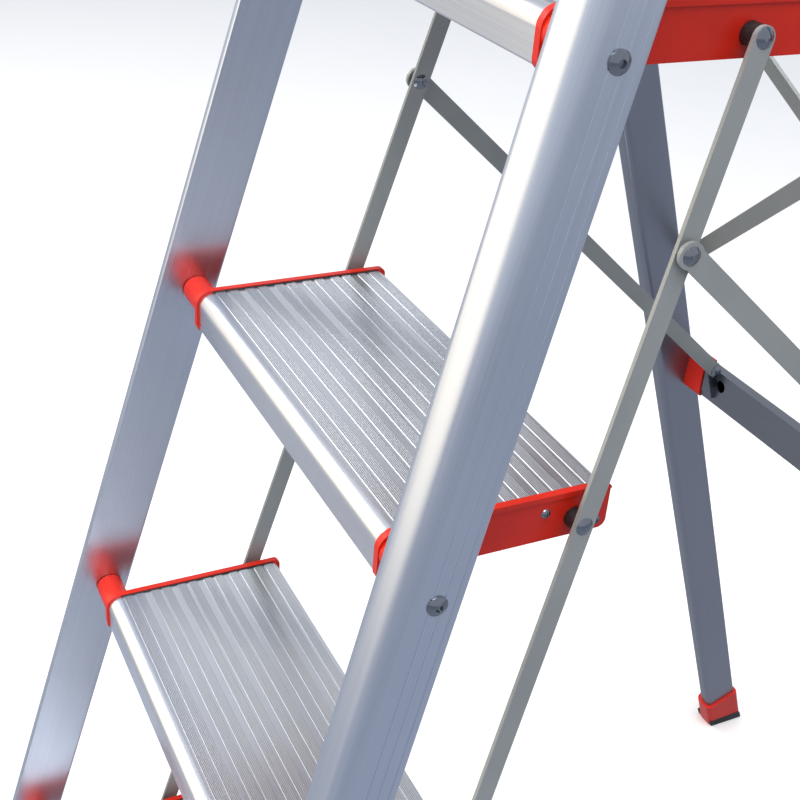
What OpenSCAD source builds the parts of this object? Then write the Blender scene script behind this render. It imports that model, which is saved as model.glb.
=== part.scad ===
// Folding step stool: three treads and a top platform between two leaning
// stiles, with a hinged rear frame and flat folding links and braces.
// X is across the treads, +Y is to the rear, +Z is up, the floor is z = 0.

/* [Steps] */
// Height from one tread top to the next
step_rise = 245; // [235:1:260]
// Depth of each tread from nose to rear edge
tread_depth = 131; // [124:1:145]
// Depth of the top platform
platform_depth = 276; // [268:1:284]
// Height of the tread skirts
tread_height = 25.5; // [24:0.5:30]
// Half width of the third tread over its end caps
step_half_w = 142.3; // [130:0.1:160]
// Wall of the tread extrusion
tread_wall = 2; // [1.6:0.1:2.4]
// Radius of the tread nose
nose_r = 9; // [7:0.5:10]

/* [End caps] */
// Thickness of the cap plate
cap_plate = 3.2; // [2.6:0.1:4]
// Overhang of the cap outline past the tread
cap_lip = 1.5; // [1.2:0.1:2.2]
// Overhang of the cap past the tread's rear edge
cap_tail = 3.2; // [2:0.1:4]
// Height of the raised rim on the outer face
rim_h = 1.2; // [0.8:0.1:1.6]
// Width of the raised rim
rim_w = 3.2; // [2.6:0.1:4]
// Radius of the pivot boss
boss_r = 9.5; // [8.5:0.1:10]
// Radius of the cap screw heads
cap_screw_r = 2.9; // [2.6:0.1:3.2]

/* [Stiles] */
// Forward to back depth of the stile section
stile_depth = 40; // [38:1:44]
// Thickness of the stile section across the stool
stile_t = 18; // [16:1:20]
// Wall of the stile extrusion
stile_wall = 1.8; // [1.4:0.1:2.4]
// Depth of the grooves along the stile
groove_d = 0.2; // [0.1:0.05:0.5]
// Width of the grooves along the stile
groove_w = 1.2; // [0.8:0.1:1.6]
// Gap from the end cap to the stile at the pivot
stile_gap = 27.7; // [26:0.1:32]
// Run of the stile rearward for each unit of height
lean_tan = 0.27; // [0.25:0.005:0.29]
// Inward run of the stile for each unit of height
splay_tan = 0.062; // [0.055:0.001:0.068]

/* [Links and braces] */
// Width of the side links
link_w = 12; // [11:0.5:12.5]
// Width of the braces
brace_w = 12.5; // [11:0.5:13]
// Radius of the brace's eye at the link
brace_eye_r = 7.2; // [6.8:0.1:8]
// Thickness of the flat bars
bar_t = 2.5; // [2:0.1:3]
// Thickness of the washer between cap and link
link_gap = 8.4; // [7.6:0.1:9.4]
// Gap between link and brace
brace_gap = 2.6; // [2.5:0.1:3.2]
// Radius of the rivet shanks
rivet_r = 3; // [2.5:0.1:3.2]
// Radius of the rivet heads
rivet_head_r = 5.5; // [5:0.1:5.8]
// Height of the rivet heads
rivet_head_h = 2; // [1.6:0.1:2.2]

/* [Rear frame] */
// Forward to back depth of the rear leg section
leg_depth = 38; // [36:1:40]
// Thickness of the rear leg section across the stool
leg_t = 18; // [16:1:20]
// Wall of the rear leg tube
leg_wall = 1.6; // [1.2:0.1:2]
// Run of the rear leg rearward for each unit of drop
leg_lean_tan = 0.403; // [0.39:0.001:0.415]
// Outward run of the rear leg for each unit of drop
leg_splay_tan = 0.078; // [0.07:0.001:0.082]
// Height of the crossbar section
bar_h = 32; // [28:1:34]
// Depth of the crossbar section
bar_d = 10; // [9:1:12]
// Wall of the crossbar tube
bar_wall = 1.5; // [1.2:0.1:2]

/* [Hinges] */
// Thickness of the hinge plates
plate_t = 3; // [2.5:0.1:3]
// Radius of the hinge pins
pin_r = 5; // [4:0.1:5.5]
// Radius of the step pivot bolts
bolt_r = 3; // [2.5:0.1:3.5]
// Running clearance round every pivot
fit = 0.05; // [0.02:0.01:0.09]

/* [Colours] */
// Colour of the aluminium
alu_col = "#b9bfc6";
// Colour of the red plastic
red_col = "#c8281e";
// Colour of the painted bars
bar_col = "#8a9092";
// Colour of the rear frame
leg_col = "#5b6169";
// Colour of the fasteners
steel_col = "#c9cbce";
// Colour of washers and foot soles
dark_col = "#1c1d1f";

/* [Hidden] */
$fn = 48;

// Leans, splays and the levels of the treads.
lean = atan(lean_tan);
splay = atan(splay_tan * cos(lean));
leg_lean = atan(leg_lean_tan);
leg_splay = atan(leg_splay_tan * cos(leg_lean));
ref_z = 3 * step_rise;
function lvl_z(i) = i * step_rise;
function lvl_y(i) = (i - 3) * step_rise * lean_tan + y_shift;
function lvl_w(i) = step_half_w - (i - 3) * step_rise * splay_tan;
function lvl_depth(i) = i == 4 ? platform_depth : tread_depth;

// Places of the pivots behind and below each tread's front top edge.
pivot_y = 8.4;
pivot_drop = 11;
link_y = tread_depth - 18.4;
link_drop = 15.8;
brace_up = 130;
brace_y = link_y + (brace_up + link_drop) * lean_tan;

// Stile section: rear and front faces measured square from the pivot line.
stile_rear = 14.2;
stile_front = stile_rear - stile_depth;
stile_nose_r = min(15, stile_t - 2.5);
stile_low = 6;
stile_x = step_half_w + stile_gap;
cs = cos(splay);

// The hinge pin sits behind the stile, and the rail above it joins the stiles.
hinge_above = 312.4;
hinge_back = 14;
hinge_z = ref_z + step_rise + hinge_above;
hinge_y = pivot_y + (hinge_z - ref_z + pivot_drop) * lean_tan + hinge_back / cos(lean);
rail_z = hinge_z + 42;
stile_top = (rail_z - ref_z + pivot_drop) / cos(lean) / cs + 17.6;

// Rear leg: its centre line runs a little behind the hinge pin.
leg_behind = 7.6;
leg_up = 30;
leg_x = stile_x + stile_t + 15;
function leg_cy(z) = hinge_y + leg_behind - leg_lean_tan * (z - hinge_z) + y_shift;
function leg_in(z) = leg_x - leg_splay_tan * (z - ref_z);

// The foot sleeves and the shift that centres the footprint.
foot_wall = 3;
foot_h = 46;
foot_front = (stile_front - foot_wall) / cos(lean) + pivot_y - lean_tan * (ref_z - pivot_drop);
foot_rear = hinge_y + leg_behind + leg_lean_tan * hinge_z + (leg_depth / 2 + foot_wall) / cos(leg_lean);
y_shift = -(foot_front + foot_rear) / 2;

// Crossbars of the rear frame.
brace_bar_z = ref_z - 181;
brace_bar_y = leg_cy(brace_bar_z) + 17.6;
pivot_e_y = brace_bar_y - bar_d / 2 - 7.5;
pivot_e_z = brace_bar_z + bar_h / 2 + 4.5;
platform_rest = 0.3;
ridge_h = 0.4;
platform_bar_z = lvl_z(4) - ridge_h - tread_height - cap_lip - platform_rest - bar_h / 2;
platform_bar_y = lvl_y(4) + platform_depth - 7;

// Link and brace planes.
link_x = step_half_w + link_gap;
slope = tan(splay);
d_y = brace_y + y_shift;
d_z = ref_z + brace_up;
d_along = (brace_up + link_drop) / cos(lean);
link_x_d = link_x - slope * d_along;
brace_x_d = link_x_d + bar_t / cs + brace_gap;
brace_run_y = pivot_e_y - d_y;
brace_run_z = d_z - pivot_e_z;
brace_len = sqrt(brace_run_y * brace_run_y + brace_run_z * brace_run_z);
brace_x_e = brace_x_d + slope * brace_len;
lug_x = brace_x_e + bar_t / cs + 0.8;

// ---- frames and small helpers ----

// Copies its children to the left side.
module left_side() {
  mirror([1, 0, 0]) children();
}

// Keeps its children on both sides.
module both_sides() {
  children();
  mirror([1, 0, 0]) children();
}

// A round bar along X starting at x, on the line y, z.
module x_bar(x, len, r, y, z) {
  translate([x, y, z]) rotate([0, 90, 0]) cylinder(r = r, h = len);
}

// A domed head whose flat side faces -X.
module x_dome(x, r, h, y, z) {
  ball = (r * r + h * h) / (2 * h);
  translate([x, y, z]) rotate([0, 90, 0]) intersection() {
    translate([0, 0, h - ball]) sphere(r = ball);
    cylinder(r = r, h = h + 1);
  }
}

// A rectangle with its own radius at each corner.
module round_rect(x0, x1, y0, y1, ra, rb, rc, rd) {
  polygon([[x0 + ra, y0], [x1 - rb, y0], [x1, y0 + rb], [x1, y1 - rc],
           [x1 - rc, y1], [x0 + rd, y1], [x0, y1 - rd], [x0, y0 + ra]]);
  intersection() {
    translate([x0, y0]) square([x1 - x0, y1 - y0]);
    union() {
      translate([x0 + ra, y0 + ra]) circle(r = ra);
      translate([x1 - rb, y0 + rb]) circle(r = rb);
      translate([x1 - rc, y1 - rc]) circle(r = rc);
      translate([x0 + rd, y1 - rd]) circle(r = rd);
    }
  }
}

// Extrudes a (y, z) outline along X from x0 to x1.
module along_x(x0, x1) {
  translate([x0, 0, 0]) rotate([90, 0, 90]) linear_extrude(height = x1 - x0) children();
}

// The stile frame: x is out from the inner face, y is square to the
// pivot line, z runs up the stile from the third tread's pivot.
module on_stile() {
  translate([stile_x, lvl_y(3) + pivot_y, ref_z - pivot_drop])
    rotate([-lean, 0, 0]) rotate([0, -splay, 0]) children();
}

// The link frame: x is out from the link's inner face.
module on_link() {
  translate([link_x, lvl_y(3) + link_y, ref_z - link_drop])
    rotate([-lean, 0, 0]) rotate([0, -splay, 0]) children();
}

// The rear leg frame: y is square to the leg, z runs up it.
module on_leg() {
  translate([leg_x, leg_cy(ref_z), ref_z])
    rotate([leg_lean, 0, 0]) rotate([0, -leg_splay, 0]) children();
}

// Everything above a level of the floor.
module above(z) {
  translate([-1000, -1500, z]) cube([2000, 3000, 3000]);
}

// ---- stiles ----

module stile_outline(grow) {
  round_rect(-grow, stile_t + grow, stile_front - grow, stile_rear + grow,
             2.5, stile_nose_r, 2, 2);
}

module stile_section() {
  difference() {
    stile_outline(0);
    round_rect(stile_wall, stile_t - stile_wall, stile_front + stile_wall,
               stile_rear - stile_wall, 1, stile_nose_r - stile_wall, 1, 1);
    for (k = [-1:1]) {
      translate([stile_t - groove_d, 2.4 + 6.5 * k - groove_w / 2]) square([1, groove_w]);
    }
  }
}

// Solid blocks that stand for the stile when another piece is cut to it.
module stile_block() {
  on_stile() translate([0, stile_front - 40, -900])
    cube([stile_t, stile_depth + 80, 1800]);
}

module stile_holes() {
  for (i = [1:4]) {
    x_bar(lvl_w(i), stile_gap + stile_t + 20, bolt_r, lvl_y(i) + pivot_y, lvl_z(i) - pivot_drop);
  }
  for (k = [0, 1]) {
    plate_bolt_place(k) cylinder(r = 3, h = 60, center = true);
  }
}

module stile() {
  difference() {
    intersection() {
      on_stile() translate([0, 0, -ref_z - 200])
        linear_extrude(height = ref_z + 200 + stile_top) stile_section();
      above(stile_low);
    }
    stile_holes();
  }
}

module stile_left() {
  color(alu_col) left_side() stile();
}

module stile_right() {
  color(alu_col) stile();
}

module stile_foot() {
  difference() {
    intersection() {
      on_stile() translate([0, 0, -ref_z - 200])
        linear_extrude(height = 200 + pivot_drop / cos(lean) + foot_h
                       - ref_z * (1 / cos(lean) / cs - 1))
          round_rect(-foot_wall, stile_t + foot_wall, stile_front - foot_wall,
                     stile_rear + foot_wall, 3, 12, 4, 4);
      above(0);
    }
    intersection() {
      on_stile() translate([0, 0, -ref_z - 200])
        linear_extrude(height = ref_z + 400) stile_outline(0);
      above(stile_low);
    }
  }
}

module stile_foot_left() {
  color(red_col) left_side() stile_foot();
}

module stile_foot_right() {
  color(red_col) stile_foot();
}

module stile_top_caps() {
  color(red_col) both_sides() on_stile() translate([0, 0, stile_top])
    linear_extrude(height = 9)
      round_rect(-1, stile_t + 1, stile_front - 1, stile_rear + 1, 3.5, stile_nose_r + 1, 3, 3);
}

// ---- top rail ----

rail_y = lvl_y(3) + pivot_y + (rail_z - ref_z + pivot_drop) * lean_tan
         + (stile_front + stile_rear) / 2 / cos(lean);
rail_in = stile_x - splay_tan * (rail_z - ref_z + pivot_drop);
rail_h = 22;
rail_d = 30;

module rail_outline(grow) {
  translate([rail_y, rail_z])
    round_rect(-rail_d / 2 - grow, rail_d / 2 + grow, -rail_h / 2 - grow, rail_h / 2 + grow,
               7 + grow, 7 + grow, 7 + grow, 7 + grow);
}

module top_rail() {
  color(alu_col) difference() {
    along_x(-rail_in + 3, rail_in - 3) rail_outline(0);
    along_x(-rail_in, rail_in) rail_outline(-1.8);
  }
}

module top_rail_sockets() {
  color(red_col) both_sides() difference() {
    along_x(rail_in - 24, rail_in + 6) rail_outline(3);
    along_x(rail_in - 30, rail_in - 3) rail_outline(0);
    stile_block();
  }
}

// ---- step pivots ----

module pivot_bolt(i) {
  y = lvl_y(i) + pivot_y;
  z = lvl_z(i) - pivot_drop;
  w = lvl_w(i);
  outer = w + stile_gap + stile_t / cs;
  x_bar(w - cap_plate - 7, outer - w + cap_plate + 7.5, bolt_r, y, z);
  x_bar(w - cap_plate - 5.3, 5, 5.2, y, z);
  difference() {
    union() {
      x_bar(outer - 2, 2.6, 5.5, y, z);
      x_dome(outer + 0.6, 5.5, 2.2, y, z);
    }
    x_bar(outer + 1.4, 4, 1.9, y, z);
    stile_block();
    x_bar(outer - 3, 3.5, bolt_r, y, z);
  }
}

module step_pivot_bolts() {
  color(steel_col) both_sides() for (i = [1:4]) {
    pivot_bolt(i);
  }
}

// ---- hinges ----

plate_mid = (hinge_z - ref_z + pivot_drop) / cos(lean) / cs;
plate_low = plate_mid - 60;
hinge_rear = (hinge_y + y_shift - lvl_y(3) - pivot_y - (hinge_z - ref_z + pivot_drop) * lean_tan)
             * cos(lean);
hinge_at_y = hinge_y + y_shift;
hinge_plate_x = stile_x - splay_tan * (hinge_z - ref_z + pivot_drop) + stile_t / cs;
hinge_leg_x = leg_in(hinge_z);

module plate_bolt_place(k) {
  on_stile() translate([stile_t, 2, plate_mid - 48 + 24 * k]) rotate([0, 90, 0]) children();
}

module hinge_plates() {
  color(steel_col) both_sides() difference() {
    on_stile() translate([stile_t, 0, plate_low]) rotate([90, 0, 90])
      linear_extrude(height = plate_t)
        round_rect(-7, hinge_rear + 10, 0, 60 + 12, 5, 9, 9, 9);
    x_bar(100, 200, pin_r, hinge_at_y, hinge_z);
    for (k = [0, 1]) {
      plate_bolt_place(k) cylinder(r = 3, h = 60, center = true);
    }
  }
}

module hinge_pins() {
  out = hinge_leg_x + leg_t / cos(leg_splay) + 0.9;
  color(steel_col) both_sides() difference() {
    union() {
      x_bar(hinge_plate_x - 3, out - hinge_plate_x + 6, pin_r, hinge_at_y, hinge_z);
      x_bar(out, 2, 9, hinge_at_y, hinge_z);
      x_dome(out + 2, 9, 2.4, hinge_at_y, hinge_z);
    }
    stile_block();
  }
}

module hinge_plate_bolts() {
  color(steel_col) both_sides() for (k = [0, 1]) {
    plate_bolt_place(k) {
      translate([0, 0, -stile_t]) cylinder(r = 3, h = stile_t + plate_t);
      translate([0, 0, plate_t]) cylinder(r = 5, h = 1.2);
      translate([0, 0, -stile_t - 1.5]) cylinder(r = 5, h = 1.5);
    }
  }
}

module hinge_washers() {
  color(dark_col) both_sides() difference() {
    x_bar(hinge_plate_x, hinge_leg_x - 0.9 - hinge_plate_x, 8, hinge_at_y, hinge_z);
    x_bar(hinge_plate_x - 1, 30, pin_r, hinge_at_y, hinge_z);
    on_stile() translate([0, -60, 0]) cube([stile_t + plate_t, 120, 900]);
  }
}

// ---- treads and end caps ----

band_w = 6.2;
band_gap = 2.4;
strip_w = 5.4;
band_pitch = 2 * band_w + band_gap + strip_w;
cap_shank_r = 1.8;
channel_r = 3.7;

// The outline of a tread in (y, z), with its front top corner at the origin.
module tread_profile(depth) {
  front = nose_r + 1.5;
  room = depth - front - 3;
  n = floor((room + strip_w) / band_pitch);
  start = front + (room - n * band_pitch + strip_w) / 2;
  difference() {
    union() {
      tread_skin(depth, n, start);
      tread_channels(depth);
    }
    for (p = screw_spots(depth)) {
      translate(p) circle(r = cap_shank_r);
    }
  }
}

// The tread's thin skin with its raised bands.
module tread_skin(depth, n, start) {
  difference() {
    union() {
      round_rect(0, depth, -tread_height, 0, 1.5, 1.5, 2.5, nose_r);
      for (k = [0:n - 1]) {
        for (m = [0, 1]) {
          translate([start + k * band_pitch + m * (band_w + band_gap), -1])
            square([band_w, 1 + ridge_h]);
        }
      }
    }
    round_rect(tread_wall, depth - tread_wall, -tread_height - 10, -tread_wall,
               1, 1, 1, nose_r - tread_wall);
  }
}

// The screw channels, the web that carries the middle one and the skirt beads.
module tread_channels(depth) {
  difference() {
    union() {
      for (p = screw_spots(depth)) {
        translate(p) circle(r = channel_r);
      }
      translate([depth - 36 - 1, -9]) square([2, 8]);
      translate([0.5, -tread_height + 1.2]) square([3.5, 2.6]);
      translate([depth - 4, -tread_height + 1.2]) square([3.5, 2.6]);
    }
    translate([-8, -tread_height - 10]) square([8.3, 20]);
    translate([depth - 0.3, -tread_height - 10]) square([8.3, 20]);
  }
}

// Screw places on a cap: front low, middle and rear low.
function screw_spots(depth) = [[5, -tread_height + 3.9], [depth - 36, -10],
                               [depth - 3.4, -tread_height + 3.9]];

module tread_body(i) {
  w = lvl_w(i) - cap_plate;
  color(alu_col) translate([0, lvl_y(i), lvl_z(i) - ridge_h])
    along_x(-w, w) tread_profile(lvl_depth(i));
}

module cap_outline(depth, inset) {
  round_rect(-cap_lip + inset, depth + cap_tail - inset,
             -tread_height - cap_lip + inset, cap_lip - inset,
             5 - inset / 2, 5 - inset / 2, 4 - inset / 2, nose_r + 1 - inset);
}

module end_cap(i) {
  depth = lvl_depth(i);
  w = lvl_w(i);
  boss_len = stile_gap - boss_r * slope - 0.45;
  color(red_col) difference() {
    translate([0, lvl_y(i), lvl_z(i) - ridge_h]) {
      along_x(w - cap_plate, w) cap_outline(depth, 0);
      along_x(w, w + rim_h) difference() {
        cap_outline(depth, 0);
        cap_outline(depth, rim_w);
        translate([rim_w - cap_lip, -tread_height - 20]) square([depth + 20, tread_height]);
        translate([nose_r, -tread_height - 20])
          square([depth + 20, tread_height + 20 + cap_lip - rim_w]);
      }
    }
    x_bar(w - 20, 60, bolt_r + fit, lvl_y(i) + pivot_y, lvl_z(i) - pivot_drop);
    x_bar(w - 20, 60, rivet_r + fit, lvl_y(i) + link_y, lvl_z(i) - link_drop);
    for (p = screw_spots(depth)) {
      x_bar(w - 20, 60, cap_shank_r, lvl_y(i) + p[0], lvl_z(i) - ridge_h + p[1]);
      x_bar(w, 60, cap_screw_r + 0.2, lvl_y(i) + p[0], lvl_z(i) - ridge_h + p[1]);
    }
    x_bar(w, 60, rivet_head_r + 2, lvl_y(i) + link_y, lvl_z(i) - link_drop);
  }
  color(red_col) difference() {
    x_bar(w, boss_len, boss_r, lvl_y(i) + pivot_y, lvl_z(i) - pivot_drop);
    x_bar(w - 20, 60, bolt_r + fit, lvl_y(i) + pivot_y, lvl_z(i) - pivot_drop);
    translate([w + 4, lvl_y(i) - 20, lvl_z(i) - pivot_drop - boss_r - 5])
      cube([60, 60, 6.5]);
    for (p = screw_spots(depth)) {
      x_bar(w, 3, cap_screw_r + 0.2, lvl_y(i) + p[0], lvl_z(i) - ridge_h + p[1]);
    }
  }
}

module cap_screws(i) {
  w = lvl_w(i);
  color(steel_col) both_sides() for (p = screw_spots(lvl_depth(i))) {
    y = lvl_y(i) + p[0];
    z = lvl_z(i) - ridge_h + p[1];
    difference() {
      union() {
        x_bar(w - cap_plate - 9, cap_plate + 9, cap_shank_r, y, z);
        x_dome(w, cap_screw_r, 1.7, y, z);
      }
      translate([w + 1, y - 1.7, z - 0.35]) cube([2, 3.4, 0.7]);
      translate([w + 1, y - 0.35, z - 1.7]) cube([2, 0.7, 3.4]);
    }
  }
}

module link_washers(i) {
  w = lvl_w(i);
  y = lvl_y(i) + link_y;
  z = lvl_z(i) - link_drop;
  color(dark_col) both_sides() difference() {
    x_bar(w, link_x_at(i) - rivet_head_r * slope - 0.4 - w, rivet_head_r + 0.4, y, z);
    x_bar(w - 5, 30, rivet_r + fit, y, z);
  }
}

// Inner face of the link at the pivot of level i.
function link_x_at(i) = lvl_w(i) + link_gap;

module tread_1() {
  tread_body(1);
}

module tread_2() {
  tread_body(2);
}

module tread_3() {
  tread_body(3);
}

module platform_deck() {
  tread_body(4);
}

module end_cap_1_left() {
  left_side() end_cap(1);
}

module end_cap_1_right() {
  end_cap(1);
}

module end_cap_2_left() {
  left_side() end_cap(2);
}

module end_cap_2_right() {
  end_cap(2);
}

module end_cap_3_left() {
  left_side() end_cap(3);
}

module end_cap_3_right() {
  end_cap(3);
}

module platform_cap_left() {
  left_side() end_cap(4);
}

module platform_cap_right() {
  end_cap(4);
}

module cap_screws_1() {
  cap_screws(1);
}

module cap_screws_2() {
  cap_screws(2);
}

module cap_screws_3() {
  cap_screws(3);
}

module platform_screws() {
  cap_screws(4);
}

module link_washers_1() {
  link_washers(1);
}

module link_washers_2() {
  link_washers(2);
}

module link_washers_3() {
  link_washers(3);
}

module platform_link_washers() {
  link_washers(4);
}

// ---- links ----

link_run = step_rise / cos(lean) / cs;

// The link's own rivet holes, along X.
module link_pins(r) {
  for (i = [1:4]) {
    x_bar(lvl_w(i) - 30, 80, r, lvl_y(i) + link_y, lvl_z(i) - link_drop);
  }
  x_bar(link_x_d - 30, 80, r, d_y, d_z);
}

module link_bar() {
  difference() {
    on_link() rotate([90, 0, 90]) linear_extrude(height = bar_t) {
      translate([-link_w / 2, -2 * link_run]) square([link_w, 3 * link_run]);
      translate([0, -2 * link_run]) circle(r = link_w / 2);
      translate([0, link_run]) circle(r = link_w / 2);
    }
    link_pins(rivet_r);
  }
}

module link_left() {
  color(bar_col) left_side() link_bar();
}

module link_right() {
  color(bar_col) link_bar();
}

// The slab of space that the link takes up.
module link_slab() {
  on_link() translate([0, -60, -900]) cube([bar_t, 120, 1800]);
}

module link_rivets() {
  color(steel_col) both_sides() difference() {
    for (i = [1:4]) {
      y = lvl_y(i) + link_y;
      z = lvl_z(i) - link_drop;
      x = link_x_at(i);
      x_bar(lvl_w(i) - cap_plate - 2.4, 2, rivet_head_r - 1, y, z);
      x_bar(lvl_w(i) - cap_plate - 1, x + bar_t / cs + 0.5 - lvl_w(i) + cap_plate + 1, rivet_r, y, z);
      difference() {
        x_dome(x + bar_t / cs - 0.3, rivet_head_r, rivet_head_h + 0.3, y, z);
        link_slab();
      }
    }
  }
}

module brace_rivet_tails() {
  x = link_x_d;
  color(steel_col) both_sides() {
    x_bar(x - 0.6, bar_t / cs + 1.4, rivet_r, d_y, d_z);
    difference() {
      union() {
        mirror([1, 0, 0]) x_dome(-x - 0.4, rivet_head_r, 2, d_y, d_z);
        x_bar(x + bar_t / cs - 0.4, 1.1, rivet_head_r - 0.5, d_y, d_z);
      }
      link_slab();
      x_bar(x - 1, 4.4, rivet_r, d_y, d_z);
    }
  }
}

// ---- rear frame ----

module leg_outline(grow) {
  round_rect(-grow, leg_t + grow, -leg_depth / 2 - grow, leg_depth / 2 + grow,
             5, 7, 2.5, 2.5);
}

module leg_block() {
  on_leg() translate([0, -leg_depth / 2 - 40, -1500]) cube([leg_t, leg_depth + 80, 3000]);
}

leg_top = (hinge_z - ref_z) / cos(leg_lean) + leg_up;

module rear_leg() {
  difference() {
    intersection() {
      on_leg() translate([0, 0, -ref_z - 300])
        linear_extrude(height = ref_z + 300 + leg_top) difference() {
          leg_outline(0);
          round_rect(leg_wall, leg_t - leg_wall, -leg_depth / 2 + leg_wall,
                     leg_depth / 2 - leg_wall, 3.4, 5.4, 1, 1);
        }
      above(stile_low);
    }
    x_bar(0, 400, pin_r + fit, hinge_at_y, hinge_z);
    diagonal_holes();
  }
}

module rear_leg_left() {
  color(leg_col) left_side() rear_leg();
}

module rear_leg_right() {
  color(leg_col) rear_leg();
}

module rear_foot() {
  difference() {
    intersection() {
      on_leg() translate([0, 0, -ref_z - 300])
        linear_extrude(height = 300 + foot_h - ref_z * (1 / cos(leg_lean) / cos(leg_splay) - 1))
          round_rect(-foot_wall, leg_t + foot_wall, -leg_depth / 2 - foot_wall,
                     leg_depth / 2 + foot_wall, 5, 7, 4, 4);
      above(0);
    }
    intersection() {
      on_leg() translate([0, 0, -ref_z - 300]) linear_extrude(height = ref_z + 500) leg_outline(0);
      above(stile_low);
    }
  }
}

module rear_foot_left() {
  color(red_col) left_side() rear_foot();
}

module rear_foot_right() {
  color(red_col) rear_foot();
}

module leg_top_caps() {
  color(red_col) both_sides() on_leg() translate([0, 0, leg_top])
    linear_extrude(height = 6) leg_outline(0.8);
}

// A crossbar of box tube between the rear legs.
module crossbar(y, z) {
  w = leg_in(z) - 3;
  color(leg_col) translate([-w, y - bar_d / 2, z - bar_h / 2]) difference() {
    cube([2 * w, bar_d, bar_h]);
    translate([-1, bar_wall, bar_wall]) cube([2 * w + 2, bar_d - 2 * bar_wall, bar_h - 2 * bar_wall]);
  }
}

module bar_socket(y, z) {
  w = leg_in(z);
  color(red_col) both_sides() difference() {
    along_x(w - 22, w + 4)
      translate([y, z]) round_rect(-bar_d / 2 - 2, bar_d / 2 + 2, -bar_h / 2 - 2, bar_h / 2 + 2,
                                   2.5, 2.5, 2.5, 2.5);
    translate([w - 30, y - bar_d / 2, z - bar_h / 2]) cube([27, bar_d, bar_h]);
    leg_block();
  }
}

module brace_crossbar() {
  difference() {
    crossbar(brace_bar_y, brace_bar_z);
    color(leg_col) both_sides() translate([brace_x_e - 2, brace_bar_y - bar_d, brace_bar_z + 4])
      rotate([-90, 0, 0]) cylinder(r = 5.5, h = bar_d);
  }
}

module brace_bar_sockets() {
  bar_socket(brace_bar_y, brace_bar_z);
}

module platform_crossbar() {
  crossbar(platform_bar_y, platform_bar_z);
}

module platform_bar_sockets() {
  bar_socket(platform_bar_y, platform_bar_z);
}

// ---- rear diagonals ----

diag_w = 14;
diag_low = brace_bar_z + 110;
diag_high = platform_bar_z + 52.7;

// The plane of the legs' rear faces: x stays across, z runs up the face.
module on_rear_face() {
  translate([0, leg_cy(ref_z) + leg_depth / 2 / cos(leg_lean), ref_z])
    rotate([leg_lean, 0, 0]) children();
}

function diag_x(z) = leg_in(z) + leg_t / 2;
function diag_s(z) = (z - ref_z) / cos(leg_lean);
diag_rise = diag_s(diag_high) - diag_s(diag_low);
diag_turn = diag_x(diag_low) + diag_x(diag_high);
diag_len = sqrt(diag_rise * diag_rise + diag_turn * diag_turn);
diag_slope = atan2(diag_rise, diag_turn);
cross_s = diag_s(diag_low) + diag_rise * diag_x(diag_low) / diag_turn;

module diagonal_bar(off) {
  on_rear_face() translate([diag_x(diag_low), off + bar_t, diag_s(diag_low)])
    rotate([90, 0, 0]) rotate([0, 0, 180 - diag_slope]) linear_extrude(height = bar_t) difference() {
      union() {
        translate([0, -diag_w / 2]) square([diag_len, diag_w]);
        circle(r = diag_w / 2);
        translate([diag_len, 0]) circle(r = diag_w / 2);
      }
      circle(r = rivet_r);
      translate([diag_len, 0]) circle(r = rivet_r);
      translate([norm_cross, 0]) circle(r = rivet_r);
    }
}

norm_cross = diag_len * diag_x(diag_low) / diag_turn;

module rear_diagonal_a() {
  color(bar_col) diagonal_bar(0);
}

module rear_diagonal_b() {
  color(bar_col) left_side() diagonal_bar(bar_t);
}

module diag_place(x, s) {
  on_rear_face() translate([x, 0, s]) rotate([-90, 0, 0]) children();
}

module diagonal_holes() {
  diag_place(diag_x(diag_low), diag_s(diag_low)) cylinder(r = rivet_r, h = 8, center = true);
  diag_place(diag_x(diag_high), diag_s(diag_high)) cylinder(r = rivet_r, h = 8, center = true);
}

module diag_rivet(inner, outer) {
  translate([0, 0, -inner]) cylinder(r = rivet_r, h = inner + outer);
  difference() {
    translate([0, 0, outer]) intersection() {
      translate([0, 0, rivet_head_h - 8.5625]) sphere(r = 8.5625);
      cylinder(r = rivet_head_r, h = 4);
    }
    cylinder(r = rivet_r, h = outer);
  }
}

module diagonal_rivets() {
  color(steel_col) {
    diag_place(diag_x(diag_low), diag_s(diag_low)) diag_rivet(3, bar_t);
    diag_place(-diag_x(diag_high), diag_s(diag_high)) diag_rivet(3, bar_t);
    for (p = [[-diag_x(diag_low), diag_s(diag_low)], [diag_x(diag_high), diag_s(diag_high)]]) {
      diag_place(p[0], p[1]) {
        diag_rivet(3, 2 * bar_t);
        difference() {
          cylinder(r = 6.5, h = bar_t);
          cylinder(r = rivet_r, h = bar_t);
        }
      }
    }
    diag_place(0, cross_s) {
      diag_rivet(0, 2 * bar_t);
      mirror([0, 0, 1]) diag_rivet(0, 0.01);
    }
  }
}

// ---- brace lugs ----

lug_t = 2.5;

module brace_lugs() {
  face = brace_bar_y - bar_d / 2;
  color(leg_col) both_sides() difference() {
    union() {
      along_x(lug_x, lug_x + lug_t) {
        translate([pivot_e_y, pivot_e_z]) circle(r = 7);
        polygon([[pivot_e_y - 7, pivot_e_z], [pivot_e_y + 5, pivot_e_z + 4.9],
                 [face, pivot_e_z + 1], [face, brace_bar_z - 10], [face - 3, brace_bar_z - 10]]);
      }
      translate([lug_x, face - 2, brace_bar_z - 10]) cube([16, 2, 22]);
    }
    x_bar(lug_x - 10, 40, rivet_r, pivot_e_y, pivot_e_z);
  }
}

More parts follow.
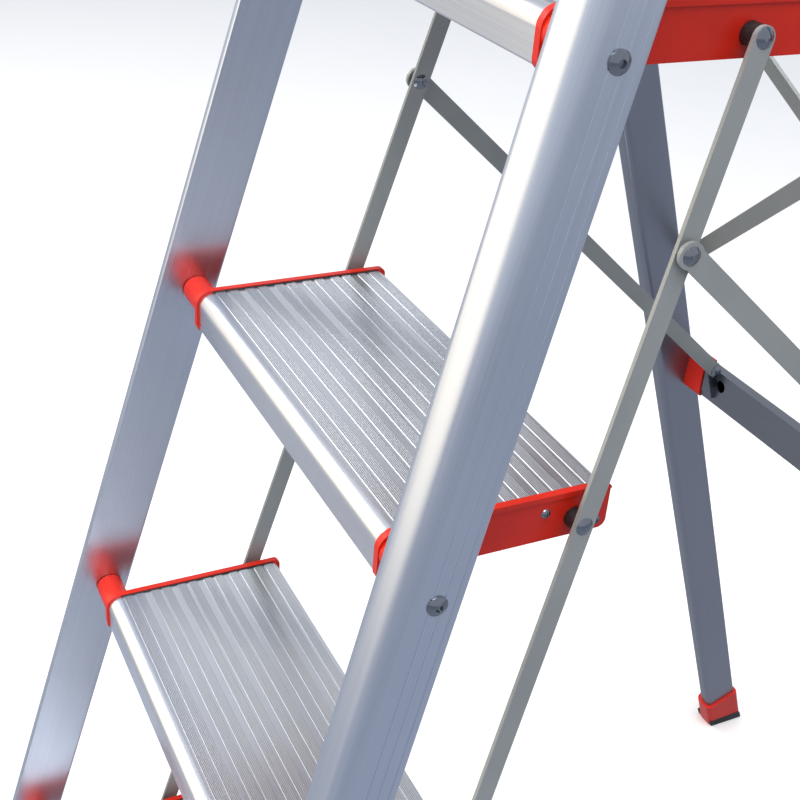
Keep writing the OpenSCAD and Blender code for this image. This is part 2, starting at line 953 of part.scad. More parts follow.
module lug_pins() {
  color(steel_col) both_sides() {
    x_bar(brace_x_e - 1.5, lug_x + lug_t - brace_x_e + 2, rivet_r, pivot_e_y, pivot_e_z);
    mirror([1, 0, 0]) x_dome(-brace_x_e + 0.9, rivet_head_r, rivet_head_h, pivot_e_y, pivot_e_z);
    difference() {
      x_dome(lug_x + lug_t, rivet_head_r, rivet_head_h, pivot_e_y, pivot_e_z);
      x_bar(lug_x, lug_t + 0.5, rivet_r, pivot_e_y, pivot_e_z);
    }
  }
}

// ---- braces ----

brace_turn = atan2(brace_run_y, brace_run_z);

// The brace frame: z runs from the rear pivot to the link pivot.
module on_brace() {
  translate([brace_x_e, pivot_e_y, pivot_e_z])
    rotate([brace_turn, 0, 0]) rotate([0, -splay, 0]) children();
}

module brace_bar() {
  difference() {
    on_brace() rotate([90, 0, 90]) linear_extrude(height = bar_t) {
      translate([-brace_w / 2, 0]) square([brace_w, brace_len / cs]);
      circle(r = brace_w / 2);
      translate([0, brace_len / cs]) circle(r = brace_eye_r);
    }
    x_bar(brace_x_e - 20, 60, rivet_r + fit, pivot_e_y, pivot_e_z);
    x_bar(brace_x_d - 20, 60, rivet_r, d_y, d_z);
  }
}

module brace_left() {
  color(bar_col) left_side() brace_bar();
}

module brace_right() {
  color(bar_col) brace_bar();
}

module brace_rivets() {
  x = brace_x_d;
  color(steel_col) both_sides() {
    x_bar(x - 0.7, bar_t / cs + 1.2, rivet_r, d_y, d_z);
    difference() {
      union() {
        x_dome(x + bar_t / cs - 0.4, rivet_head_r, rivet_head_h + 0.4, d_y, d_z);
        x_bar(x - 0.7, 1.1, rivet_head_r, d_y, d_z);
      }
      on_brace() translate([0, -30, 0]) cube([bar_t, 60, 2 * brace_len]);
      x_bar(x - 1, 4, rivet_r, d_y, d_z);
    }
  }
}

stile_left();
stile_right();
stile_foot_left();
stile_foot_right();
stile_top_caps();
top_rail();
top_rail_sockets();
step_pivot_bolts();
hinge_plates();
hinge_pins();
hinge_plate_bolts();
hinge_washers();
tread_1();
end_cap_1_left();
end_cap_1_right();
cap_screws_1();
link_washers_1();
tread_2();
end_cap_2_left();
end_cap_2_right();
cap_screws_2();
link_washers_2();
tread_3();
end_cap_3_left();
end_cap_3_right();
cap_screws_3();
link_washers_3();
platform_deck();
platform_cap_left();
platform_cap_right();
platform_screws();
platform_link_washers();
link_left();
link_right();
link_rivets();
brace_rivet_tails();
rear_leg_left();
rear_leg_right();
rear_foot_left();
rear_foot_right();
leg_top_caps();
brace_crossbar();
brace_bar_sockets();
platform_crossbar();
platform_bar_sockets();
rear_diagonal_a();
rear_diagonal_b();
diagonal_rivets();
brace_lugs();
lug_pins();
brace_left();
brace_right();
brace_rivets();
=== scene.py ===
import math

import bmesh
import bpy
from bpy.props import FloatProperty, FloatVectorProperty, IntProperty, PointerProperty, StringProperty
from mathutils import Matrix, Vector


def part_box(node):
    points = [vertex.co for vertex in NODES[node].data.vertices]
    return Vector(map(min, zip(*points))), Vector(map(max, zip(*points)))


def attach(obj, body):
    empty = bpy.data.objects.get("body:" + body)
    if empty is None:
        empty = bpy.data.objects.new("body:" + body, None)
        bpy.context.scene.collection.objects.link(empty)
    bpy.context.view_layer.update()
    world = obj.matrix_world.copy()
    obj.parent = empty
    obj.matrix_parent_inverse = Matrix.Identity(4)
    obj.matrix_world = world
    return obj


bl_info = {
    "name": "Step Stool Dresser",
    "version": (1, 0, 0),
    "blender": (4, 5, 0),
    "location": "View3D > Sidebar > Step Stool",
    "description": "Finishes, grip ridges, soles, gaskets and studio for a folding step stool",
    "category": "Object",
}

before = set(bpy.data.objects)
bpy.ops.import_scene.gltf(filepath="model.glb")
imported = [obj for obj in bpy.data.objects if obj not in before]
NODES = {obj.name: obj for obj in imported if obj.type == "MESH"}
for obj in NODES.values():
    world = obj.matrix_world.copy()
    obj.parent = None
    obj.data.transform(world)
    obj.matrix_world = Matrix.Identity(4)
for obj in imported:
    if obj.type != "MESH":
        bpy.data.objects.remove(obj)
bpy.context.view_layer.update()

# Each tread and each foot, with the body that it rides on.
TREADS = (
    ("tread_1", "step_1"),
    ("tread_2", "step_2"),
    ("tread_3", "step_3"),
    ("platform_deck", "platform"),
)
FEET = (
    ("stile_foot_left", "front_frame"),
    ("stile_foot_right", "front_frame"),
    ("rear_foot_left", "rear_frame"),
    ("rear_foot_right", "rear_frame"),
)

MM = 0.001
# Turns about X that lean an upright back with the stiles, or forward with the rear legs.
STILE_TILT = math.radians(-15.1)
LEG_TILT = math.radians(21.9)
# Die lines to a metre along X, Y and Z: close together across an extrusion, drawn out along it.
UPRIGHT_LINES = (60, 900, 2)
CROSSWISE_LINES = (2, 900, 900)
TREAD_LINES = (1.5, 800, 800)
# Roughness of each satin extrusion where it is smoothest and roughest.
STILE_SATIN = (0.27, 0.34)
REAR_SATIN = (0.33, 0.42)
TREAD_SATIN = (0.26, 0.33)
# Most of a noise lies between these values.
NOISE_SPREAD = (0.3, 0.7)
# Faces that meet at less than this are shaded as one smooth surface.
SMOOTH_ANGLE = math.radians(35)
# A face looks up when its normal's Z is above this.
LOOKS_UP = 0.9

# Points this near a tread's top lie on its bands, and band edges this close are one edge.
BAND_TOP_TOLERANCE = 0.02 * MM
BAND_EDGE_TOLERANCE = 0.3 * MM
# How far a ridge is let into its band, its gap to the dark strip of painted shade, its crown's share of
# its width, and the chamfer round the crown.
RIDGE_SINK = 0.15 * MM
RIDGE_END_GAP = 0.1 * MM
RIDGE_CROWN = 0.8
RIDGE_CHAMFER = 0.05 * MM

# A dark strip of painted shade, standing for the shadow in the gap inside each cap lip, starts behind the
# tread's rounded nose and ends short of its rear edge. It lies on the flat of the tread, which is a band's
# height below the top.
SHADE_STRIP_NOSE_GAP = 9.5 * MM
SHADE_STRIP_REAR_GAP = 3 * MM
BAND_HEIGHT = 0.4 * MM
SHADE_STRIP_HEIGHT = 0.95 * MM
SHADE_STRIP_ROUNDING = 0.2 * MM

# Points of a foot below the first height stand on the floor, and those above the second show
# the way that the foot leans.
FLOOR_TOUCH = 0.2 * MM
FOOT_UPPER_PART = 30 * MM
# How far a sole stops short of its foot's front and rear, the width of the step round its upper
# face, that step's height, and the rounding of its edges.
SOLE_END_GAP = 1 * MM
SOLE_STEP_WIDTH = 2 * MM
SOLE_STEP_HEIGHT = 1.2 * MM
SOLE_ROUNDING = 1.2 * MM

# The studio's floor in metres each way, how far the grey card lies below it, where along X the
# card's three tones lie, and the tone of the even light.
FLOOR_SIZE = 16
CARD_DROP = 4 * MM
CARD_PLACES = (-0.4, 1.1, 2.2)
SKY_TONE = "#F1F6FF"
# The camera's sensor, in millimetres as a lens is named, and the nearest that it sees.
SENSOR_WIDTH = 36
NEAR_CLIP = 10 * MM


# ---- small helpers ----


def linear(hex_colour):
    """The linear RGBA of an sRGB hex colour."""
    parts = [int(hex_colour[k:k + 2], 16) / 255 for k in (1, 3, 5)]
    return [c / 12.92 if c <= 0.04045 else ((c + 0.055) / 1.055) ** 2.4 for c in parts] + [1.0]


def shade(hex_colour, factor):
    """A linear colour made lighter or darker."""
    return [min(1.0, c * factor) for c in linear(hex_colour)[:3]] + [1.0]


def node(tree, kind, settings=None, values=None, links=None):
    """Adds one shader node with its settings, its input values and the links that feed it."""
    made = tree.nodes.new(kind)
    for key, value in (settings or {}).items():
        setattr(made, key, value)
    for key, value in (values or {}).items():
        made.inputs[key].default_value = value
    for key, source in (links or {}).items():
        tree.links.new(source, made.inputs[key])
    return made


def ramp(tree, source, stops):
    """The colour that a factor picks from a list of (position, linear colour)."""
    made = node(tree, "ShaderNodeValToRGB", links={"Fac": source})
    band = made.color_ramp
    band.elements[0].position, band.elements[0].color = stops[0]
    band.elements[1].position, band.elements[1].color = stops[-1]
    for place, colour in stops[1:-1]:
        band.elements.new(place).color = colour
    return made.outputs["Color"]


def blank(name, **inputs):
    """A new material, its tree, its Principled shader with these inputs, and Object coordinates."""
    mat = bpy.data.materials.new(name)
    mat.use_nodes = True
    tree = mat.node_tree
    shader = tree.nodes["Principled BSDF"]
    for key, value in inputs.items():
        shader.inputs[key.replace("_", " ")].default_value = value
    coord = node(tree, "ShaderNodeTexCoord")
    return mat, tree, shader, coord.outputs["Object"]


def mottle(tree, source, spots, detail=3.0):
    """A soft noise with so many spots to a metre."""
    return node(tree, "ShaderNodeTexNoise", values={"Scale": spots, "Detail": detail, "Roughness": 0.6},
                links={"Vector": source}).outputs["Fac"]


def die_lines(tree, source, lines, tilt):
    """A noise drawn out into lines, so many to a metre along each axis of a tilted extrusion."""
    turned = node(tree, "ShaderNodeMapping", {"vector_type": "TEXTURE"},
                  values={"Rotation": (tilt, 0, 0), "Scale": [1 / count for count in lines]},
                  links={"Vector": source})
    return mottle(tree, turned.outputs["Vector"], 1.0, 1.5)


def colour_from(tree, shader, source, colour, dark, light, spread=NOISE_SPREAD):
    """Varies a colour between a darker and a lighter shade with a pattern."""
    tint = ramp(tree, source, [(spread[0], shade(colour, dark)), (spread[1], shade(colour, light))])
    tree.links.new(tint, shader.inputs["Base Color"])


def roughness_from(tree, shader, source, smooth, rough):
    """Varies the roughness between two values with a pattern."""
    least, most = NOISE_SPREAD
    spread = node(tree, "ShaderNodeMapRange", links={"Value": source},
                  values={"From Min": least, "From Max": most, "To Min": smooth, "To Max": rough})
    tree.links.new(spread.outputs["Result"], shader.inputs["Roughness"])


def bump_from(tree, shader, source, distance, strength):
    """Feeds a height pattern to the shader's normal, with its height in metres."""
    bump = node(tree, "ShaderNodeBump", values={"Strength": strength, "Distance": distance},
                links={"Height": source})
    tree.links.new(bump.outputs["Normal"], shader.inputs["Normal"])


# ---- materials ----


def anodised_aluminium(name, colour, satin, lines, tilt=0.0):
    """Aluminium extrusion with satin anodising: a soft metal with faint die lines along
    its length, which the eye sees as a broad, slightly streaked highlight."""
    mat, tree, shader, place = blank(name, Metallic=1.0)
    drawn = die_lines(tree, place, lines, tilt)
    # Clouds from the anodising bath, about 170 mm across.
    cloud = mottle(tree, place, 6.0)
    both = node(tree, "ShaderNodeMath", {"operation": "ADD"}, links={0: drawn, 1: cloud})
    mean = node(tree, "ShaderNodeMath", {"operation": "MULTIPLY"}, values={1: 0.5},
                links={0: both.outputs[0]})
    colour_from(tree, shader, mean.outputs[0], colour, 0.93, 1.05)
    roughness_from(tree, shader, mean.outputs[0], *satin)
    bump_from(tree, shader, drawn, 0.01 * MM, 0.1)
    return mat


def moulded_abs(name, colour):
    """Injection-moulded glossy ABS: an even, saturated colour with a fine orange-peel
    surface that softens the reflections, a little duller where hands and shoes rub."""
    mat, tree, shader, place = blank(name, IOR=1.46, Specular_IOR_Level=0.4)
    # Rubbed patches about 36 mm across.
    rub = mottle(tree, place, 28.0)
    colour_from(tree, shader, rub, colour, 0.9, 1.08)
    roughness_from(tree, shader, rub, 0.26, 0.38)
    # Mould texture of about 0.8 mm, coarser than the real one so that it shows.
    bump_from(tree, shader, mottle(tree, place, 1200.0, 2.0), 0.04 * MM, 0.2)
    return mat


def powder_enamel(name, colour):
    """Stoved powder enamel on flat steel bar: an even colour with a fine pebbled surface
    and a soft sheen, slightly uneven in tone."""
    mat, tree, shader, place = blank(name, IOR=1.5, Metallic=0.35)
    # Patches of tone about 80 mm long.
    tone = mottle(tree, place, 12.0)
    colour_from(tree, shader, tone, colour, 0.93, 1.07)
    roughness_from(tree, shader, tone, 0.36, 0.5)
    # Pebbles of about 1.1 mm, coarser than the real ones so that they show.
    bump_from(tree, shader, mottle(tree, place, 900.0, 2.0), 0.04 * MM, 0.2)
    return mat


def zinc_plate(name, colour):
    """Zinc-plated steel fasteners: a smooth bright metal that mirrors what is round it,
    with only a faint cloudiness from the plating bath."""
    mat, tree, shader, place = blank(name, Metallic=1.0)
    # Clouds of about 7 mm, and grain of about 1.4 mm, coarser than the real one.
    cloud = mottle(tree, place, 140.0)
    colour_from(tree, shader, cloud, colour, 0.9, 1.04)
    roughness_from(tree, shader, cloud, 0.1, 0.18)
    bump_from(tree, shader, mottle(tree, place, 700.0, 2.0), 0.02 * MM, 0.1)
    return mat


def moulded_nylon(name, colour):
    """Moulded black nylon: a matt, nearly black plastic with a faint sheen at the edges."""
    mat, tree, shader, place = blank(name, IOR=1.53)
    # Mould grain of 2 mm, coarser than the real one so that it shows.
    grain = mottle(tree, place, 500.0)
    colour_from(tree, shader, grain, colour, 0.8, 1.3)
    roughness_from(tree, shader, grain, 0.42, 0.6)
    bump_from(tree, shader, grain, 0.04 * MM, 0.2)
    return mat


def moulded_rubber(name, colour):
    """Moulded rubber soles: matt and dark, with grey scuffs where they meet the floor."""
    mat, tree, shader, place = blank(name, IOR=1.52)
    # Scuffs of about 17 mm over a grain of 1.25 mm.
    scuff = mottle(tree, place, 60.0, 5.0)
    colour_from(tree, shader, scuff, colour, 1.0, 2.4, spread=(0.4, 0.75))
    roughness_from(tree, shader, scuff, 0.7, 0.9)
    bump_from(tree, shader, mottle(tree, place, 800.0), 0.1 * MM, 0.4)
    return mat


def painted_floor(name, colour):
    """Plain matt studio floor: pale, with only a faint mottling."""
    mat, tree, shader, place = blank(name)
    # Mottles about 330 mm across.
    tone = mottle(tree, place, 3.0)
    colour_from(tree, shader, tone, colour, 0.995, 1.005)
    roughness_from(tree, shader, tone, 0.85, 0.95)
    return mat


def glowing_card(name, stops):
    """A softly lit card whose glow changes tone along X, from a list of (place in metres, tone)."""
    mat = bpy.data.materials.new(name)
    mat.use_nodes = True
    tree = mat.node_tree
    tree.nodes.clear()
    coord = node(tree, "ShaderNodeTexCoord")
    axes = node(tree, "ShaderNodeSeparateXYZ", links={"Vector": coord.outputs["Object"]})
    first, last = stops[0][0], stops[-1][0]
    along = node(tree, "ShaderNodeMapRange", values={"From Min": first, "From Max": last},
                 links={"Value": axes.outputs["X"]})
    tint = ramp(tree, along.outputs["Result"],
                [((place - first) / (last - first), list(tone) + [1.0]) for place, tone in stops])
    glow = node(tree, "ShaderNodeEmission", values={"Strength": 1.0}, links={"Color": tint})
    node(tree, "ShaderNodeOutputMaterial", links={"Surface": glow.outputs["Emission"]})
    return mat


# ---- modelling helpers ----


def clear_selection():
    """Leaves object mode with nothing selected."""
    if bpy.context.object and bpy.context.object.mode != "OBJECT":
        bpy.ops.object.mode_set(mode="OBJECT")
    bpy.ops.object.select_all(action="DESELECT")


def pick(*pieces):
    """Leaves only these pieces selected, with the first one active."""
    clear_selection()
    for piece in pieces:
        piece.select_set(True)
    bpy.context.view_layer.objects.active = pieces[0]


def pick_top(obj):
    """Enters edit mode with only the faces that look up selected."""
    pick(obj)
    bpy.ops.object.mode_set(mode="EDIT")
    bpy.ops.mesh.select_all(action="DESELECT")
    for face in bmesh.from_edit_mesh(obj.data).faces:
        if face.normal.z > LOOKS_UP:
            face.select_set(True)
    bmesh.update_edit_mesh(obj.data)


def settle(obj):
    """Puts an object's place, turn and size into its mesh."""
    pick(obj)
    bpy.ops.object.transform_apply(location=True, rotation=True, scale=True)


def block(name, low, high):
    """Adds a cube between two corners, with its place in its mesh."""
    clear_selection()
    centre = [(a + b) / 2 for a, b in zip(low, high)]
    bpy.ops.mesh.primitive_cube_add(size=1, location=centre)
    made = bpy.context.object
    made.name = name
    made.scale = [b - a for a, b in zip(low, high)]
    settle(made)
    return made


def join(pieces, name):
    """Joins pieces into one object with outward faces."""
    pick(*pieces)
    bpy.ops.object.join()
    made = bpy.context.object
    made.name = name
    bpy.ops.object.mode_set(mode="EDIT")
    bpy.ops.mesh.select_all(action="SELECT")
    bpy.ops.mesh.normals_make_consistent(inside=False)
    bpy.ops.object.mode_set(mode="OBJECT")
    return made


def copy_by(obj, offset):
    """A copy with its own mesh, moved by an offset."""
    twin = obj.copy()
    twin.data = obj.data.copy()
    bpy.context.scene.collection.objects.link(twin)
    twin.data.transform(Matrix.Translation(offset))
    return twin


def finish_with(obj, mat):
    """Gives a piece or a CAD node its one finish."""
    obj.data.materials.clear()
    obj.data.materials.append(mat)


def finish_piece(obj, mat, body):
    """Gives a piece its finish, smooth shading, material slot and the body that it rides on."""
    finish_with(obj, mat)
    pick(obj)
    bpy.ops.object.shade_smooth_by_angle(angle=SMOOTH_ANGLE)
    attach(obj, body)


# ---- what the frame says ----


def nodes_named(starts=(), ends=()):
    """The CAD nodes whose names start or end like this."""
    return [name for name in NODES if name.startswith(starts) or name.endswith(ends)]


def tread_bands(tread):
    """A tread's top, and the raised bands on it as (front, rear) pairs, read from its mesh."""
    points = [v.co for v in NODES[tread].data.vertices]
    top = max(p.z for p in points)
    marks = sorted({round(p.y, 5) for p in points if abs(p.z - top) < BAND_TOP_TOLERANCE})
    edges = []
    for y in marks:
        if not edges or y - edges[-1] > BAND_EDGE_TOLERANCE:
            edges.append(y)
    if len(edges) < 4 or len(edges) % 2:
        raise RuntimeError(f"the bands of {tread} could not be read: {edges}")
    return top, list(zip(edges[::2], edges[1::2]))


def footprint(foot):
    """Where a foot stands, as its lowest and highest X and Y on the floor, and how far it
    leans in X and Y for each metre up."""
    points = [v.co for v in NODES[foot].data.vertices]
    ground = [p for p in points if p.z < FLOOR_TOUCH]
    if len(ground) < 4:
        raise RuntimeError(f"{foot} does not stand on the floor")
    x_low, x_high = min(p.x for p in ground), max(p.x for p in ground)
    y_low, y_high = min(p.y for p in ground), max(p.y for p in ground)
    upper = [p for p in points if p.z > FOOT_UPPER_PART]
    height = sum(p.z for p in upper) / len(upper)
    splay = sum(p.x for p in upper) / len(upper) - (x_low + x_high) / 2
    lean = sum(p.y for p in upper) / len(upper) - (y_low + y_high) / 2
    return (x_low, y_low), (x_high, y_high), (splay / height, lean / height)


# ---- settings ----


class StoolColours(bpy.types.PropertyGroup):
    """Colours of the stool and its studio."""

    stile: StringProperty(name="Stile", description="Anodised stiles and top rail", default="#CBD2DF")
    tread: StringProperty(name="Tread", description="Ribbed tread extrusion", default="#E3E5E9")
    # The ridge colour is the tread's aluminium made darker: painted shade on the bright crowns, not wear.
    ridge: StringProperty(name="Ridge", description="Fine ridge crowns darkened as painted shade", default="#B4B7BC")
    plastic: StringProperty(name="Plastic", description="End caps, sockets and feet", default="#CA2412")
    bar: StringProperty(name="Bar", description="Links, braces and diagonals", default="#9A9E9D")
    leg: StringProperty(name="Leg", description="Rear legs", default="#9498A3")
    # Crossbars and lugs take the legs' finish in a darker colour: painted shade.
    crossbar: StringProperty(name="Crossbar", description="Rear crossbars and lugs", default="#7F838B")
    zinc: StringProperty(name="Zinc", description="Bolts, rivets and screws", default="#868B93")
    washer: StringProperty(name="Washer", description="Link and hinge washers", default="#17181A")
    sole: StringProperty(name="Sole", description="Rubber soles", default="#202123")
    floor: StringProperty(name="Floor", description="Studio floor", default="#F7F7F7")


class StoolSizes(bpy.types.PropertyGroup):
    """Sizes of the pieces that dress the stool."""

    ridge_pitch: FloatProperty(name="Ridge pitch", description="Spacing of the fine ridges",
                               default=1.08 * MM, unit="LENGTH")
    ridge_width: FloatProperty(name="Ridge width", description="Width of one fine ridge",
                               default=0.6 * MM, unit="LENGTH")
    ridge_height: FloatProperty(name="Ridge height", description="Height of one fine ridge",
                                default=0.16 * MM, unit="LENGTH")
    ridge_count: IntProperty(name="Ridges per band", description="Fine ridges in each band", default=6)
    # The strip inside each cap lip is painted shade: a dark sheet where the gap falls into shadow.
    shade_strip_width: FloatProperty(name="Shade strip width", description="Painted shade strip inside each cap lip",
                                default=0.9 * MM, unit="LENGTH")
    sole_height: FloatProperty(name="Sole height", description="Height of the rubber sole",
                               default=9 * MM, unit="LENGTH")
    sole_proud: FloatProperty(name="Sole lip", description="How far the sole stands proud of its foot",
                              default=0.8 * MM, unit="LENGTH")


class StoolStudio(bpy.types.PropertyGroup):
    """Camera and light of the studio."""

    camera_place: FloatVectorProperty(name="Camera", description="Place of the camera", subtype="XYZ",
                                      unit="LENGTH", default=(0.5892, -0.4884, 1.1014))
    camera_turn: FloatVectorProperty(name="Camera turn", description="Turn of the camera", subtype="EULER",
                                     default=[math.radians(turn) for turn in (60.012, -4.115, 64.114)])
    lens: FloatProperty(name="Lens", description="Focal length for a 36 mm sensor", default=57.74)
    shift: FloatVectorProperty(name="Shift", description="Lens shift", size=2, default=(-0.0074, -0.0007))
    sky: FloatProperty(name="Sky", description="Strength of the even studio light", default=0.74)
    key: FloatProperty(name="Key", description="Power of the front softbox in watts", default=56.0)
    side: FloatProperty(name="Side", description="Power of the side softbox in watts", default=13.0)
    top: FloatProperty(name="Top", description="Power of the overhead softbox in watts", default=130.0)
    card_left: FloatVectorProperty(name="Card left", description="Tone under the left of the stool",
                                   subtype="COLOR", size=3, default=(0.47, 0.50, 0.57))
    card_near: FloatVectorProperty(name="Card near", description="Tone just right of the stool",
                                   subtype="COLOR", size=3, default=(0.43, 0.47, 0.57))
    card_right: FloatVectorProperty(name="Card right", description="Tone far to the right of the stool",
                                    subtype="COLOR", size=3, default=(0.36, 0.39, 0.46))


# ---- operators ----


class STOOL_OT_finishes(bpy.types.Operator):
    """Gives every part of the frame its own finish"""

    bl_idname = "stool.finishes"
    bl_label = "Finish the frame"

    def execute(self, context):
        colours = context.scene.stool_colours
        stile = anodised_aluminium("anodised_aluminium_stile", colours.stile, STILE_SATIN,
                                   UPRIGHT_LINES, STILE_TILT)
        rail = anodised_aluminium("anodised_aluminium_rail", colours.stile, STILE_SATIN, CROSSWISE_LINES)
        leg = anodised_aluminium("anodised_aluminium_leg", colours.leg, REAR_SATIN,
                                 UPRIGHT_LINES, LEG_TILT)
        # The crossbars and lugs share the legs' finish, darkened as painted shade.
        crossbar = anodised_aluminium("anodised_aluminium_crossbar_shaded", colours.crossbar, REAR_SATIN,
                                      CROSSWISE_LINES)
        tread = anodised_aluminium("extruded_aluminium_tread", colours.tread, TREAD_SATIN, TREAD_LINES)
        groups = (
            (nodes_named(("stile_left", "stile_right")), stile),
            (("top_rail",), rail),
            (nodes_named("rear_leg"), leg),
            (nodes_named("brace_lugs", "_crossbar"), crossbar),
            ([name for name, _body in TREADS], tread),
            (nodes_named(("end_cap_", "platform_cap_", "stile_foot", "rear_foot"),
                         ("_sockets", "_top_caps")),
             moulded_abs("moulded_abs_red", colours.plastic)),
            (nodes_named(("link_left", "link_right", "brace_left", "brace_right", "rear_diagonal")),
             powder_enamel("powder_enamel_bar", colours.bar)),
            (nodes_named(("cap_screws", "platform_screws"),
                         ("_bolts", "_pins", "_rivets", "_tails", "_plates")),
             zinc_plate("zinc_plated_steel", colours.zinc)),
            (nodes_named(("link_washers", "hinge_washers", "platform_link_washers")),
             moulded_nylon("moulded_nylon_black", colours.washer)),
        )
        bare = set(NODES)
        for names, finish in groups:
            for name in names:
                finish_with(NODES[name], finish)
            bare.difference_update(names)
        if bare:
            raise RuntimeError(f"no finish for {sorted(bare)}")
        return {"FINISHED"}


class STOOL_OT_grip_ridges(bpy.types.Operator):
    """Adds the fine ridges on the bands of every tread"""

    bl_idname = "stool.grip_ridges"
    bl_label = "Grip ridges"

    def execute(self, context):
        sizes = context.scene.stool_sizes
        # The ridges take the tread's aluminium in a darker colour, as painted shade on their crowns.
        finish = anodised_aluminium("extruded_aluminium_ridge_shaded", context.scene.stool_colours.ridge,
                                    TREAD_SATIN, TREAD_LINES)
        span = (sizes.ridge_count - 1) * sizes.ridge_pitch
        for tread, body in TREADS:
            _low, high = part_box(tread)
            top, bands = tread_bands(tread)
            half = high.x - sizes.shade_strip_width - RIDGE_END_GAP
            first = block(f"{tread}_ridge", (-half, -sizes.ridge_width / 2, top - RIDGE_SINK),
                          (half, sizes.ridge_width / 2, top + sizes.ridge_height))
            # The ridge's top is drawn in to a crown, and its edges are chamfered.
            pick_top(first)
            bpy.ops.transform.resize(value=(1, RIDGE_CROWN, 1))
            bpy.ops.mesh.bevel(offset=RIDGE_CHAMFER, segments=1, affect="EDGES")
            bpy.ops.object.mode_set(mode="OBJECT")
            ridges = []
            for front, rear in bands:
                if span + sizes.ridge_width > rear - front:
                    raise RuntimeError(f"the ridges do not fit the bands of {tread}")
                start = (front + rear) / 2 - span / 2
                for k in range(sizes.ridge_count):
                    ridges.append(copy_by(first, (0, start + k * sizes.ridge_pitch, 0)))
            bpy.data.objects.remove(first)
            finish_piece(join(ridges, f"{tread}_ridges"), finish, body)
        return {"FINISHED"}


class STOOL_OT_shade_strips(bpy.types.Operator):
    """Adds a dark strip of painted shade between each tread and the lip of its end caps"""

    bl_idname = "stool.gaskets"
    bl_label = "Cap shade strips"

    def execute(self, context):
        sizes = context.scene.stool_sizes
        # The dark strips are painted shade, standing for the shadow in the gap at each cap lip.
        finish = moulded_nylon("painted_shade_strip", context.scene.stool_colours.washer)
        for tread, body in TREADS:
            low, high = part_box(tread)
            front, rear = low.y + SHADE_STRIP_NOSE_GAP, high.y - SHADE_STRIP_REAR_GAP
            deck = high.z - BAND_HEIGHT
            strips = []
            for side in (-1, 1):
                edges = sorted((side * high.x, side * (high.x - sizes.shade_strip_width)))
                strip = block(f"{tread}_gasket_{side}", (edges[0], front, deck),
                              (edges[1], rear, deck + SHADE_STRIP_HEIGHT))
                # The edges round the top of the painted shade strip are rounded over.
                pick_top(strip)
                bpy.ops.mesh.bevel(offset=SHADE_STRIP_ROUNDING, segments=2, affect="EDGES")
                bpy.ops.object.mode_set(mode="OBJECT")
                strips.append(strip)
            finish_piece(join(strips, f"{tread}_gaskets"), finish, body)
        return {"FINISHED"}


class STOOL_OT_soles(bpy.types.Operator):
    """Adds a stepped rubber sole round the bottom of every foot"""

    bl_idname = "stool.soles"
    bl_label = "Foot soles"

    def execute(self, context):
        sizes = context.scene.stool_sizes
        lip, height = sizes.sole_proud, sizes.sole_height
        finish = moulded_rubber("moulded_rubber_sole", context.scene.stool_colours.sole)
        for foot, body in FEET:
            (x_low, y_low), (x_high, y_high), (splay, lean) = footprint(foot)
            sole = block(f"{foot}_sole", (x_low - lip, y_low + SOLE_END_GAP, 0.0),
                         (x_high + lip, y_high - SOLE_END_GAP, height))
            # The walls follow the foot's lean, and the upper face rises in a step.
            pick_top(sole)
            bpy.ops.transform.translate(value=(splay * height, lean * height, 0))
            bpy.ops.mesh.inset(thickness=SOLE_STEP_WIDTH)
            bpy.ops.transform.translate(value=(0, 0, SOLE_STEP_HEIGHT))
            bpy.ops.object.mode_set(mode="OBJECT")
            bevel = sole.modifiers.new("soft edges", "BEVEL")
            bevel.width = SOLE_ROUNDING
            bevel.segments = 3
            bevel.limit_method = "ANGLE"
            pick(sole)
            bpy.ops.object.modifier_apply(modifier=bevel.name)
            finish_piece(sole, finish, body)
        return {"FINISHED"}


def studio_plane(name, height, mat):
    """A level plane as wide as the studio."""
    clear_selection()
    bpy.ops.mesh.primitive_plane_add(size=FLOOR_SIZE, location=(0, 0, height))
    plane = bpy.context.object
    plane.name = name
    settle(plane)
    finish_with(plane, mat)
    return plane


def softbox(name, place, aim, wide, tall, watts, tone):
    """A rectangular soft light aimed at a point, which the camera doesn't see."""
    data = bpy.data.lights.new(name, "AREA")
    data.shape = "RECTANGLE"
    data.size = wide
    data.size_y = tall
    data.energy = watts
    data.color = linear(tone)[:3]
    lamp = bpy.data.objects.new(name, data)
    bpy.context.scene.collection.objects.link(lamp)
    lamp.visible_camera = False
    lamp.location = place
    lamp.rotation_euler = (Vector(aim) - Vector(place)).to_track_quat("-Z", "Y").to_euler()


def studio_sky(strength):
    """The even light of the studio's walls."""
    world = bpy.data.worlds.new("soft_studio")
    world.use_nodes = True
    back = world.node_tree.nodes["Background"]
    back.inputs["Color"].default_value = linear(SKY_TONE)
    back.inputs["Strength"].default_value = strength
    return world


def studio_camera(studio):
    """The camera, at the place and with the lens of the settings."""
    lens = bpy.data.cameras.new("studio_camera")
    lens.sensor_width = SENSOR_WIDTH
    lens.lens = studio.lens
    lens.shift_x, lens.shift_y = studio.shift
    lens.clip_start = NEAR_CLIP
    camera = bpy.data.objects.new("studio_camera", lens)
    bpy.context.scene.collection.objects.link(camera)
    camera.location = studio.camera_place
    camera.rotation_euler = studio.camera_turn
    return camera


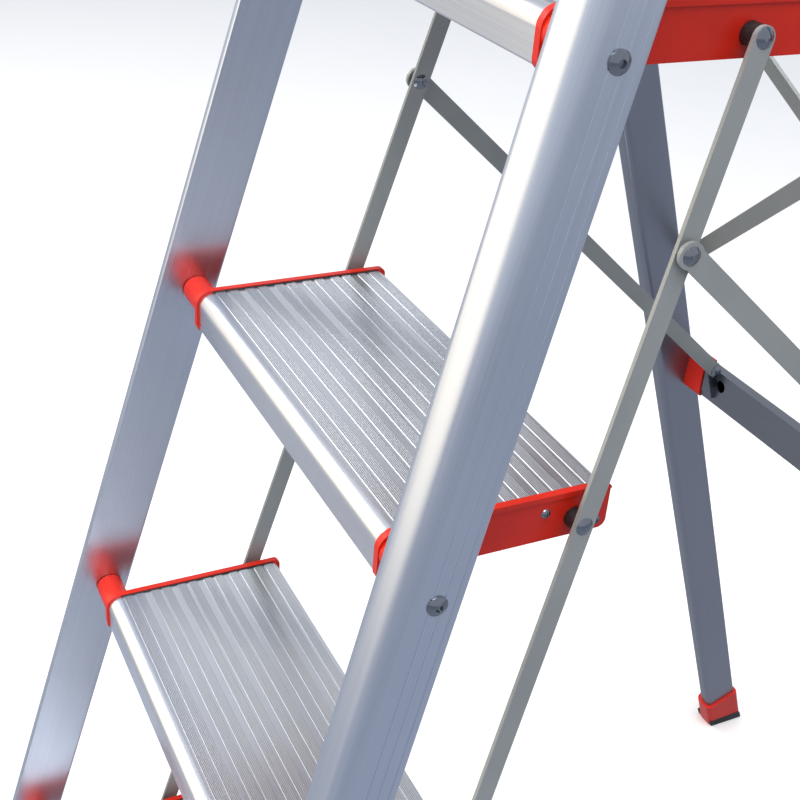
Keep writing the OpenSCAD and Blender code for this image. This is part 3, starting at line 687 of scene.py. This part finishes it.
class STOOL_OT_studio(bpy.types.Operator):
    """Sets up the floor, the soft lights and the camera"""

    bl_idname = "stool.studio"
    bl_label = "Studio"

    def execute(self, context):
        studio = context.scene.stool_studio
        paint = painted_floor("matt_floor", context.scene.stool_colours.floor)
        floor = studio_plane("studio_floor", 0, paint)
        floor.visible_diffuse = floor.visible_glossy = False
        # A grey card just under the floor, which only the stool's surfaces see.
        tones = (studio.card_left, studio.card_near, studio.card_right)
        glow = glowing_card("grey_card", list(zip(CARD_PLACES, tones)))
        card = studio_plane("studio_card", -CARD_DROP, glow)
        card.visible_camera = card.visible_shadow = card.visible_transmission = False
        # Each light's name, place, aim, width, height, watts and tone.
        softbox("front_softbox", (-0.5, -2.6, 1.45), (-0.2, -0.2, 1.1), 5.4, 2.5, studio.key, "#FFEBC4")
        softbox("side_softbox", (-2.5, -1.4, 2.3), (0, 0, 0.8), 1.2, 1.2, studio.side, "#FFFFFF")
        softbox("overhead_softbox", (0.6, -0.9, 3.4), (0, 0, 0.4), 3.0, 3.0, studio.top, "#FFFFFF")
        context.scene.world = studio_sky(studio.sky)
        context.scene.camera = studio_camera(studio)
        context.scene.view_settings.view_transform = "Standard"
        return {"FINISHED"}


OPERATORS = (STOOL_OT_finishes, STOOL_OT_grip_ridges, STOOL_OT_shade_strips, STOOL_OT_soles, STOOL_OT_studio)


class STOOL_PT_panel(bpy.types.Panel):
    """The step stool's tools"""

    bl_idname = "STOOL_PT_panel"
    bl_label = "Step Stool"
    bl_space_type = "VIEW_3D"
    bl_region_type = "UI"
    bl_category = "Step Stool"

    def draw(self, context):
        """Lists the tools, then every setting."""
        for tool in OPERATORS:
            self.layout.operator(tool.bl_idname)
        for group in ("stool_colours", "stool_sizes", "stool_studio"):
            settings = getattr(context.scene, group)
            for key in settings.__annotations__:
                self.layout.prop(settings, key)


CLASSES = (StoolColours, StoolSizes, StoolStudio) + OPERATORS + (STOOL_PT_panel,)


def register():
    """Adds the settings, the tools and their panel."""
    for cls in CLASSES:
        bpy.utils.register_class(cls)
    bpy.types.Scene.stool_colours = PointerProperty(type=StoolColours)
    bpy.types.Scene.stool_sizes = PointerProperty(type=StoolSizes)
    bpy.types.Scene.stool_studio = PointerProperty(type=StoolStudio)


def unregister():
    """Takes the settings, the tools and their panel away again."""
    del bpy.types.Scene.stool_studio
    del bpy.types.Scene.stool_sizes
    del bpy.types.Scene.stool_colours
    for cls in reversed(CLASSES):
        bpy.utils.unregister_class(cls)


def main():
    """Dresses the stool and sets up the studio."""
    register()
    bpy.ops.stool.finishes()
    bpy.ops.stool.grip_ridges()
    bpy.ops.stool.gaskets()
    bpy.ops.stool.soles()
    bpy.ops.stool.studio()


if __name__ == "__main__":
    main()
